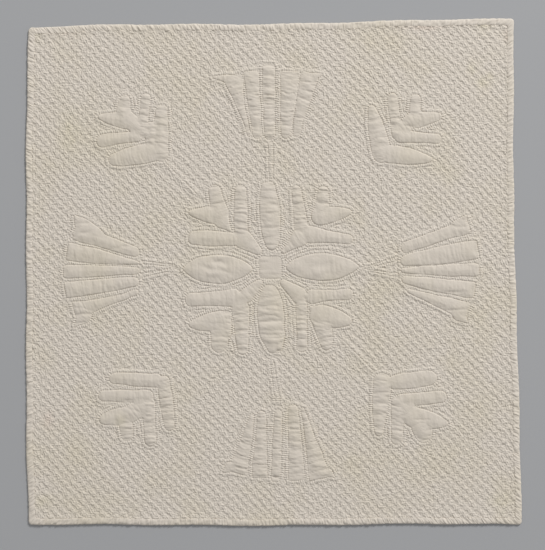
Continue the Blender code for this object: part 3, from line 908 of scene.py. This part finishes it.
# Muslin's pattern sizes, in mm, and its colours. Real muslin has a thread every 0.4 mm, and is
# drawn three times coarser so that it shows.
THREAD_SPACING = 1.2083
WAVE_PHASE = 20.0  # radians that a wave texture at scale 1 runs through in a metre
WEAVE_DEPTH = 0.2
PATCH_SIZE = 111.11  # of the patches that have yellowed more than the rest
FINE_PUCKERS = (
    # run_across, run_along, depth of the puckers between two stitches, too fine for the mesh
    (1.9231, 3.8462, 0.85),
    (4.3478, 1.7857, 0.55),
)
WHITE_COTTON = ("#d7cec2", "#d2c8b1")  # as it is, and yellowed
WHITE_THREAD = ("#ddd5c8", "#d6cdb8")
STAINS_AND_SHADE = (
    # attribute, colour, strength
    # The first row is painted shade: the motifs' cloth is painted greyer and darker for the shade
    # of their creases. The other rows are real age stains.
    ("unquilted", "#b9ae9f", 0.15),
    ("yellowed", "#cfc7a2", 0.3),
    ("pinked", "#d8c0b0", 0.35),
)


def linear(hex_colour):
    """An sRGB hex colour as linear red, green, blue and alpha."""
    parts = [int(hex_colour[k : k + 2], 16) / 255 for k in (1, 3, 5)]
    return [c / 12.92 if c <= 0.04045 else ((c + 0.055) / 1.055) ** 2.4 for c in parts] + [1.0]


def add_node(tree, kind, settings=None, inputs=None):
    """Adds a node with its settings, input values and links."""
    node = tree.nodes.new(kind)
    for name, value in (settings or {}).items():
        setattr(node, name, value)
    for name, value in (inputs or {}).items():
        if isinstance(value, bpy.types.NodeSocket):
            tree.links.new(value, node.inputs[name])
        else:
            node.inputs[name].default_value = value
    return node


def muslin(name, base, aged, stained_and_shaded):
    """Washed cotton muslin, woven plain and aged: matt, unevenly yellowed, soft to the light.

    The smooth cloth of the motifs is painted a little darker than the puckered ground: painted
    shade, standing in for the shade of its creases.
    """
    material = bpy.data.materials.new(name)
    material.use_nodes = True
    tree = material.node_tree
    shader = tree.nodes["Principled BSDF"]
    place = add_node(tree, "ShaderNodeTexCoord").outputs["Object"]
    patches = add_node(
        tree, "ShaderNodeTexNoise", None,
        {"Vector": place, "Scale": 1 / (PATCH_SIZE * MM), "Detail": 3.0, "Roughness": 0.6},
    )
    amount = add_node(
        tree, "ShaderNodeMapRange", None,
        {"Value": patches.outputs["Fac"], "From Min": 0.45, "From Max": 0.75, "To Max": 0.55},
    )
    colour = add_node(
        tree, "ShaderNodeMix", {"data_type": "RGBA"},
        {"Factor": amount.outputs["Result"], "A": linear(base), "B": linear(aged)},
    )
    tone = colour.outputs["Result"]
    # Real age stains, and the painted shade that darkens the motifs' cloth.
    for attribute, stain_and_shade_tint, strength in STAINS_AND_SHADE if stained_and_shaded else ():
        where = add_node(tree, "ShaderNodeAttribute", {"attribute_name": attribute})
        share = add_node(
            tree, "ShaderNodeMapRange", None,
            {"Value": where.outputs["Fac"], "To Max": strength},
        )
        tone = add_node(
            tree, "ShaderNodeMix", {"data_type": "RGBA"},
            {"Factor": share.outputs["Result"], "A": tone, "B": linear(stain_and_shade_tint)},
        ).outputs["Result"]
    weave_scale = 2 * math.pi / WAVE_PHASE / (THREAD_SPACING * MM)
    threads = [
        add_node(
            tree, "ShaderNodeTexWave", {"bands_direction": direction},
            {"Vector": place, "Scale": weave_scale, "Distortion": 1.5, "Detail": 1.0},
        ).outputs["Fac"]
        for direction in ("X", "Y")
    ]
    weave = add_node(tree, "ShaderNodeMath", {"operation": "MULTIPLY"})
    for socket, thread in zip(weave.inputs, threads):
        tree.links.new(thread, socket)
    normal = add_node(
        tree, "ShaderNodeBump", None,
        {"Height": weave.outputs["Value"], "Strength": 0.25, "Distance": WEAVE_DEPTH * MM},
    ).outputs["Normal"]
    quilted = add_node(tree, "ShaderNodeAttribute", {"attribute_name": "quilted"}).outputs["Fac"]
    for run_across, run_along, depth in FINE_PUCKERS:
        scale = (1 / (run_across * MM), 1 / (run_along * MM), 1.0)
        spot = add_node(tree, "ShaderNodeMapping", None, {"Vector": place, "Scale": scale})
        pucker = add_node(
            tree, "ShaderNodeTexNoise", {"noise_dimensions": "2D"},
            {"Vector": spot.outputs["Vector"], "Scale": 1.0, "Detail": 0.0},
        )
        heights = {"Height": pucker.outputs["Fac"], "Normal": normal}
        normal = add_node(
            tree, "ShaderNodeBump", None, {**heights, "Strength": quilted, "Distance": depth * MM}
        ).outputs["Normal"]
    tree.links.new(normal, shader.inputs["Normal"])
    tree.links.new(tone, shader.inputs["Base Color"])
    shader.inputs["Roughness"].default_value = 0.92
    shader.inputs["Sheen Weight"].default_value = 0.08
    return material


AGE_SPOTS = (
    # attribute, across, along, half_width, half_height
    ("yellowed", 321, 364, 13, 7),
    ("yellowed", 319, 278, 9, 8),
    ("yellowed", 303, 298, 6, 10),
    ("yellowed", 329, 288, 5, 6),
    ("yellowed", -300, 200, 16, 34),
    ("yellowed", -352, 355, 12, 16),
    ("yellowed", -225, -229, 7, 9),
    ("yellowed", 345, -350, 16, 12),
    ("yellowed", -340, -352, 16, 12),
    ("pinked", 358, 349, 6, 8),
    ("pinked", -333, -229, 8, 12),
    ("pinked", -311, 357, 20, 6),
    ("pinked", 230, 362, 26, 5),
)
SPOT_UNEVEN = (0.25, 7.0, 7.0)
TUCK_HEIGHT = 2.6  # of the top's cut edge, inside the binding
TUCK_SLOPE = 1.1
TUCK_LEVEL = 1.0  # the cloth stays that low this far in from its cut edge
GROUND_CRISPNESS = 0.8  # how sharp the puckers are drawn, from 0, smooth, to 1, flat triangles
MOTIF_CRISPNESS = 0.4
CRISP_INSIDE = 1.0  # the sharp puckers reach this far inside a seam
LEAST_QUILTED = 0.1  # share of the fine puckers on the smooth cloth of a motif
PARTS = (
    # name, across, along
    ("quilt_top_upper_right", 1, 1),
    ("quilt_top_upper_left", -1, 1),
    ("quilt_top_lower_left", -1, -1),
    ("quilt_top_lower_right", 1, -1),
)

cotton = muslin("washed cotton muslin", *WHITE_COTTON, True)


def age_spots(points, attribute):
    """How much each point lies in one of the old spots of this colour."""
    x, y = points.T
    shade = np.zeros(len(points))
    for kind, across, along, half_width, half_height in AGE_SPOTS:
        if kind == attribute:
            away = (points - DESIGN_CENTRE - (across, along)) / (half_width, half_height)
            shade = np.maximum(shade, np.exp(-((away**2).sum(axis=1))))
    return shade * (1 - SPOT_UNEVEN[0] + rough(x, y, *SPOT_UNEVEN, 47))


flat, faces = triangulated(face_points, len(border))
depth = motif_depth(flat)[0]
tucked = TUCK_HEIGHT + TUCK_SLOPE * np.maximum(edge_distance(flat) - TOP_TUCK - TUCK_LEVEL, 0)
face = np.column_stack((flat, np.minimum(face_height(flat), tucked)))
crispness = np.where(depth < CRISP_INSIDE, GROUND_CRISPNESS, MOTIF_CRISPNESS)
normals = corner_normals(face, faces, crispness)
shades = {attribute: age_spots(flat, attribute) for attribute in ("yellowed", "pinked")}
shades["quilted"] = np.clip(1 - depth, LEAST_QUILTED, 1)
# Painted shade: the share by which the motifs' smooth cloth is painted darker.
shades["unquilted"] = 1 - shades["quilted"]

# The cloth is shown in four parts, only because one mesh would be too heavy. They share the
# normals of the whole, so that no line shows between them.
centroid = flat[faces].mean(axis=1)
for name, across, along in PARTS:
    mine = ((centroid * (across, along)) >= 0).all(axis=1)
    used, renumbered = np.unique(faces[mine], return_inverse=True)
    part = mesh_object(name, face[used], renumbered.reshape(-1, 3).tolist(), cotton)
    part.data.normals_split_custom_set(normals[mine].reshape(-1, 3).tolist())
    for attribute, values in shades.items():
        stored = part.data.attributes.new(attribute, "FLOAT", "POINT")
        stored.data.foreach_set("value", values[used].astype(np.float32))
    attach(part, "root")
    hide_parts("quilt_body")

# Quilting thread. White cotton thread in small running stitches, 8 to the inch, that pass through
# all the layers. Each stitch shows for a bit more than half of its length and then dives under.
# The thread is drawn a little thicker than the real 0.35 mm.
STITCH_SEEN = 2.0
THREAD_HALF_WIDTH = 0.22
THREAD_TOP = 0.24
THREAD_DIVE = 0.45  # a stitch's ends lie this far below its middle
LAST_STITCH = 11.5  # in from the edge, because the binding covers the rest
ECHO_KEEP_OFF = 1.5  # from an echo line to the nearest stitch of the crosshatch
STEM_KEEP_OFF = 4.5
LOOK_AHEAD = 0.05  # in cells, for the direction of a line


def stitch_mesh(name, middles, ahead, material):
    """Stitches as slim closed spindles, joined in one mesh."""
    left = left_of(ahead)
    low = face_height(middles)
    spots = (
        # along the stitch, to its left, above the cloth
        (-STITCH_SEEN / 2, 0.0, -THREAD_DIVE),
        (STITCH_SEEN / 2, 0.0, -THREAD_DIVE),
        (0.0, THREAD_HALF_WIDTH, 0.0),
        (0.0, -THREAD_HALF_WIDTH, 0.0),
        (0.0, 0.0, THREAD_TOP),
    )
    points = [np.column_stack((middles + ahead * u + left * v, low + w)) for u, v, w in spots]
    points = np.stack(points, axis=1).reshape(-1, 3)
    around = ((0, 2, 3), (0, 3, 4), (0, 4, 2), (1, 3, 2), (1, 4, 3), (1, 2, 4))
    faces = (np.arange(len(middles))[:, None, None] * len(spots) + np.array(around)).reshape(-1, 3)
    thread = mesh_object(name, points, faces.tolist(), material)
    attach(thread, "root")
    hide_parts("quilt_body")


def crossing_stitches(axis):
    """Middles and directions of the stitches on the crosshatch lines of one direction."""
    lines = np.arange(-reach_in_cells // POINTS_A_CELL, reach_in_cells // POINTS_A_CELL + 1)
    along = (np.arange(len(lines) * STITCHES_A_CELL) + 0.5) / STITCHES_A_CELL + lines[0]
    cells = np.stack(np.meshgrid(lines, along), axis=-1).reshape(-1, 2)
    step = np.array((0.0, LOOK_AHEAD))
    if axis:
        cells, step = cells[:, ::-1], step[::-1]
    middles = from_cells(cells)
    keep = (np.abs(middles) < half_span).all(axis=1)
    middles, cells = middles[keep], cells[keep]
    keep = edge_distance(middles) > LAST_STITCH
    keep &= crosshatched(middles) > 0.5
    keep &= motif_depth(middles)[0] < -ECHO - ECHO_KEEP_OFF
    keep &= nearest_stem(middles)[0] > STEM_KEEP_OFF
    return middles[keep], unit(from_cells(cells[keep] + step) - middles[keep])


thread_white = muslin("white cotton thread", *WHITE_THREAD, False)
on_lines = []
for loop in seam_loops + echo_loops:
    middles = loop[1::2]
    on_lines.append((middles, unit(loop[np.arange(2, len(loop) + 1, 2) % len(loop)] - loop[::2])))
for start, end in STEM_LINES:
    ahead = unit(end - start)
    middles = start + ahead * np.arange(FINE, np.linalg.norm(end - start), STITCH)[:, None]
    on_lines.append((middles, np.repeat(ahead[None], len(middles), axis=0)))
middles, ahead = (np.concatenate(column) for column in zip(*on_lines))
stitch_mesh("outline_stitches", middles, ahead, thread_white)
stitch_mesh("crosshatch_stitches_rising", *crossing_stitches(0), thread_white)
stitch_mesh("crosshatch_stitches_falling", *crossing_stitches(1), thread_white)

# Backing. The same muslin under the filling, which lies on the surface. The quilting draws it up
# along every stitched line, and its cut edge is turned in under the binding.
BACK_A_CELL = 2
BACK_BORDER_PITCH = 3.2
BACK_KEEP_OFF = 1.5
BACK_INNER_FROM = 2.0
BACK_RISE = 0.8
BACK_FULL = 0.8  # where the face stands this much above its valleys, the back lies flat
BACK_TUCK_HEIGHT = 1.15
BACK_TUCK_FROM = 12.5  # in from the quilt's edge, where the back starts to turn in
BACK_TUCK_RUN = 1.5

back_grid = ground_grid(BACK_A_CELL, BACK_KEEP_OFF)
back_border = ring(TOP_TUCK, BACK_BORDER_PITCH)
inner_spots = inner_grid[::3]
inner_spots = inner_spots[motif_depth(inner_spots)[0] > BACK_INNER_FROM]
back_lines = [loop[::2] for loop in seam_loops + echo_loops]
back_flat, back_faces = triangulated(
    np.concatenate([back_border, *back_lines, back_grid, inner_spots]), len(back_border)
)
above_valley = face_height(back_flat) - VALLEY
back_height = BACK_RISE * np.clip(1 - above_valley / BACK_FULL, 0, 1)
turned_in = np.clip(BACK_TUCK_FROM - edge_distance(back_flat), 0, BACK_TUCK_RUN) / BACK_TUCK_RUN
back_height = np.maximum(back_height, BACK_TUCK_HEIGHT * turned_in)
back_points = np.column_stack((back_flat, back_height))
back = mesh_object("quilt_back", back_points, back_faces[:, ::-1].tolist(), cotton)
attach(back, "root")
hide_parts("quilt_body")

# Binding. Four straight strips of the same white cotton, folded over the quilt's edge with both
# cut edges turned in, and sewn down with small blind stitches. The stitches draw it into fine
# puckers, square to the edge. The strips meet in a mitre at each corner.
BINDING_PITCH = 1.4
MITRE_GAP = 0.05
SECTION = (
    # inset, height, how much the puckers move it, from the top's fold round to the back's fold
    (9, 2.9, 0),
    (9.9, 3, 0.5),
    (10.2, 3.25, 0.8),
    (9.8, 3.5, 1),
    (8.6, 3.75, 1),
    (7.2, 3.9, 1),
    (5.8, 3.95, 1),
    (4.4, 3.9, 1),
    (3, 3.75, 1),
    (1.8, 3.45, 0.9),
    (0.9, 3, 0.7),
    (0.3, 2.4, 0.5),
    (0, 1.7, 0.3),
    (0.3, 1, 0),
    (1.2, 0.3, 0),
    (3, 0.05, 0),
    (6, 0, 0),
    (9.5, 0, 0),
    (10, 0.4, 0),
    (9.3, 0.9, 0),
    (6, 1, 0),
    (2.2, 1.2, 0),
    (1.4, 1.9, 0),
    (2.4, 2.5, 0),
    (6, 2.8, 0),
)
FOLD_ROWS = (2, 3)  # the rows of the section at the sewn-down fold
PUCKERS = (
    # height, run_along, run_in
    (0.75, 1.6, 5),
    (0.45, 3.2, 7),
    (0.35, 6.5, 4),
)
NOTCH = (0.7, 3.6)  # how deep the puckers draw in the outer edge, and their run
BLIND_STITCH = 6.4  # from one blind stitch to the next
BLIND_PULL = (0.35, 0.12)  # how far it draws the fold in and down
BLIND_TENSION = (0.7, 0.5, 9.0)  # how tight it is, how much that changes, and over what run
MITRE_FADE = 6.0  # the puckers die out this near to a mitre
NOTCHED_INSET = 4.0  # the notches die out this far in
BINDING_CRISPNESS = 0.7

binding_cotton = muslin("folded cotton binding", *WHITE_COTTON, False)

for index, (name, *_) in enumerate(EDGES):
    paths = [edge_path(index, inset, BINDING_PITCH, MITRE_GAP) for inset, *_ in SECTION]
    outer, inner = (
        edge_path(index, inset, BINDING_PITCH, MITRE_GAP) for inset in (0.0, NOTCHED_INSET)
    )
    run = distance_along(outer)
    inward = unit(inner - outer)
    fade = np.clip(np.minimum(run, run[-1] - run) / MITRE_FADE, 0, 1)
    usual, change, change_run = BLIND_TENSION
    tension = usual + change * noise(run / change_run, 0 * run, 60 + index)
    pull = np.cos(2 * math.pi * run / BLIND_STITCH) * tension
    notch = NOTCH[0] * fade * np.maximum(noise(run / NOTCH[1], 0 * run, 64 + index), 0)
    rows = []
    for row, (path, (inset, height, moved)) in enumerate(zip(paths, SECTION)):
        puckers = sum(
            rough(run, inset + 0 * run, *pucker, 70 + index + 10 * k)
            for k, pucker in enumerate(PUCKERS)
        )
        lift = moved * fade * puckers
        path = path + inward * (notch * np.clip(1 - inset / NOTCHED_INSET, 0, 1))[:, None]
        if row in FOLD_ROWS:
            path = path + inward * (BLIND_PULL[0] * fade * pull)[:, None]
            lift = lift - BLIND_PULL[1] * fade * np.clip(pull, 0, 1)
        rows.append(np.column_stack((path, height + lift)))
    points = np.stack(rows, axis=1)
    columns, around = points.shape[:2]
    here = np.arange(columns - 1)[:, None] * around + np.arange(around)
    after = np.arange(columns - 1)[:, None] * around + (np.arange(around) + 1) % around
    halves = np.stack((here, after, after + around, here, after + around, here + around), axis=-1)
    triangles = halves.reshape(-1, 3)
    points = points.reshape(-1, 3)
    caps = np.stack((np.arange(around)[::-1], np.arange(around) + (columns - 1) * around))
    closed = triangles.tolist() + caps.tolist()
    strip = mesh_object("binding_strip_" + name, points, closed, binding_cotton)
    normals = corner_normals(points, triangles, np.full(len(points), BINDING_CRISPNESS))
    ends = np.column_stack((unit(outer[[0, -1]] - outer[[1, -2]]), (0.0, 0.0)))
    normals = np.concatenate((normals.reshape(-1, 3), np.repeat(ends, around, axis=0)))
    strip.data.normals_split_custom_set(normals.tolist())
    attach(strip, "root")
    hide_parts("binding_" + name)

# Floor, light and camera. The quilt lies on a plain pale floor of matt paint, in a soft room with
# one large window to the upper right, and is seen from straight above. Sizes here are in metres.
FLOOR_HALF = 4.0
FLOOR_HEIGHT = -0.0002
FLOOR_GREY = "#a6a7a9"
ROOM_LIGHT = 0.43
LAMP_SIZE = 2.2
LAMP_POWER = 520.0
LAMP_AZIMUTH = 60.0
LAMP_ELEVATION = 32.0
LAMP_DISTANCE = 8.0
VIEW_HEIGHT = 0.825  # of the surface, along the picture's longer side
VIEW_CENTRE = (-0.0018, -0.0042, 0.005)

corners = [
    (across * FLOOR_HALF, along * FLOOR_HALF, FLOOR_HEIGHT)
    for across, along in ((-1, -1), (1, -1), (1, 1), (-1, 1))
]
floor_mesh = bpy.data.meshes.new("floor")
floor_mesh.from_pydata(corners, [], [(0, 1, 2, 3)])
floor = bpy.data.objects.new("floor", floor_mesh)
bpy.context.scene.collection.objects.link(floor)
paint = bpy.data.materials.new("pale matt floor paint")
paint.use_nodes = True
coat = paint.node_tree.nodes["Principled BSDF"]
coat.inputs["Base Color"].default_value = linear(FLOOR_GREY)
coat.inputs["Roughness"].default_value = 0.9
floor_mesh.materials.append(paint)

world = bpy.data.worlds.new("soft room")
bpy.context.scene.world = world
world.use_nodes = True
background = world.node_tree.nodes["Background"]
background.inputs["Color"].default_value = (1.0, 1.0, 1.0, 1.0)
background.inputs["Strength"].default_value = ROOM_LIGHT

lamp = bpy.data.lights.new("soft window light", "AREA")
lamp.shape = "DISK"
lamp.size = LAMP_SIZE
lamp.energy = LAMP_POWER
lamp_object = bpy.data.objects.new("soft window light", lamp)
azimuth, elevation = math.radians(LAMP_AZIMUTH), math.radians(LAMP_ELEVATION)
level = math.cos(elevation)
aim = np.array((math.cos(azimuth) * level, math.sin(azimuth) * level, math.sin(elevation)))
lamp_object.location = aim * LAMP_DISTANCE
lamp_object.rotation_euler = (math.pi / 2 - elevation, 0.0, azimuth + math.pi / 2)
bpy.context.scene.collection.objects.link(lamp_object)

camera = bpy.data.cameras.new("camera")
camera.lens = 85.0
camera.sensor_width = 36.0
camera_object = bpy.data.objects.new("camera", camera)
distance = VIEW_HEIGHT * camera.lens / camera.sensor_width
camera_object.location = np.array(VIEW_CENTRE) + (0.0, 0.0, distance)
bpy.context.scene.collection.objects.link(camera_object)
bpy.context.scene.camera = camera_object
bpy.context.scene.view_settings.view_transform = "Standard"
